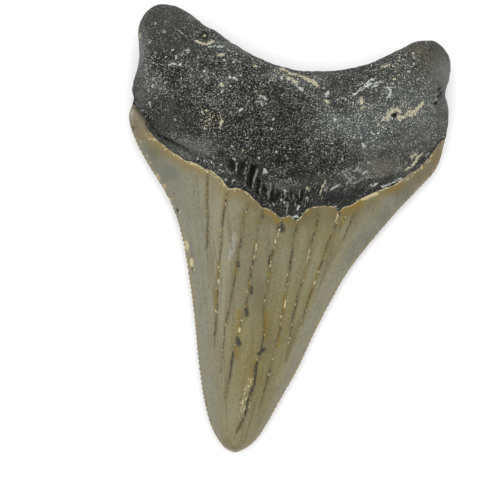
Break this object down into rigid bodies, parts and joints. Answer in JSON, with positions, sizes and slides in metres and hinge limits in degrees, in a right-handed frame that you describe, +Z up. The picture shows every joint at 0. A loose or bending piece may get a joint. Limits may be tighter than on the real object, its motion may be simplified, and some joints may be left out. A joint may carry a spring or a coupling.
{
  "type": "fossil megalodon tooth",
  "caption": "Fossil shark tooth with a serrated triangular crown, a bulged two-lobed root and a bare neck, lying on its flat side.",
  "frame": {"origin": "under the middle of the tooth's box, on the surface that it lies on", "axes": "+Y from the crown's tip to the root, +Z up from the flat labial side to the bulged lingual side, +X to the right of the lingual side"},
  "size_m": [0.0482, 0.0674, 0.0146],
  "materials": {
    "fossil": "satin olive-grey enamel on the crown, matt charcoal bone on the root"
  },
  "bodies": {
    "root": {"tooth": "fossil"}
  },
  "joints": []
}
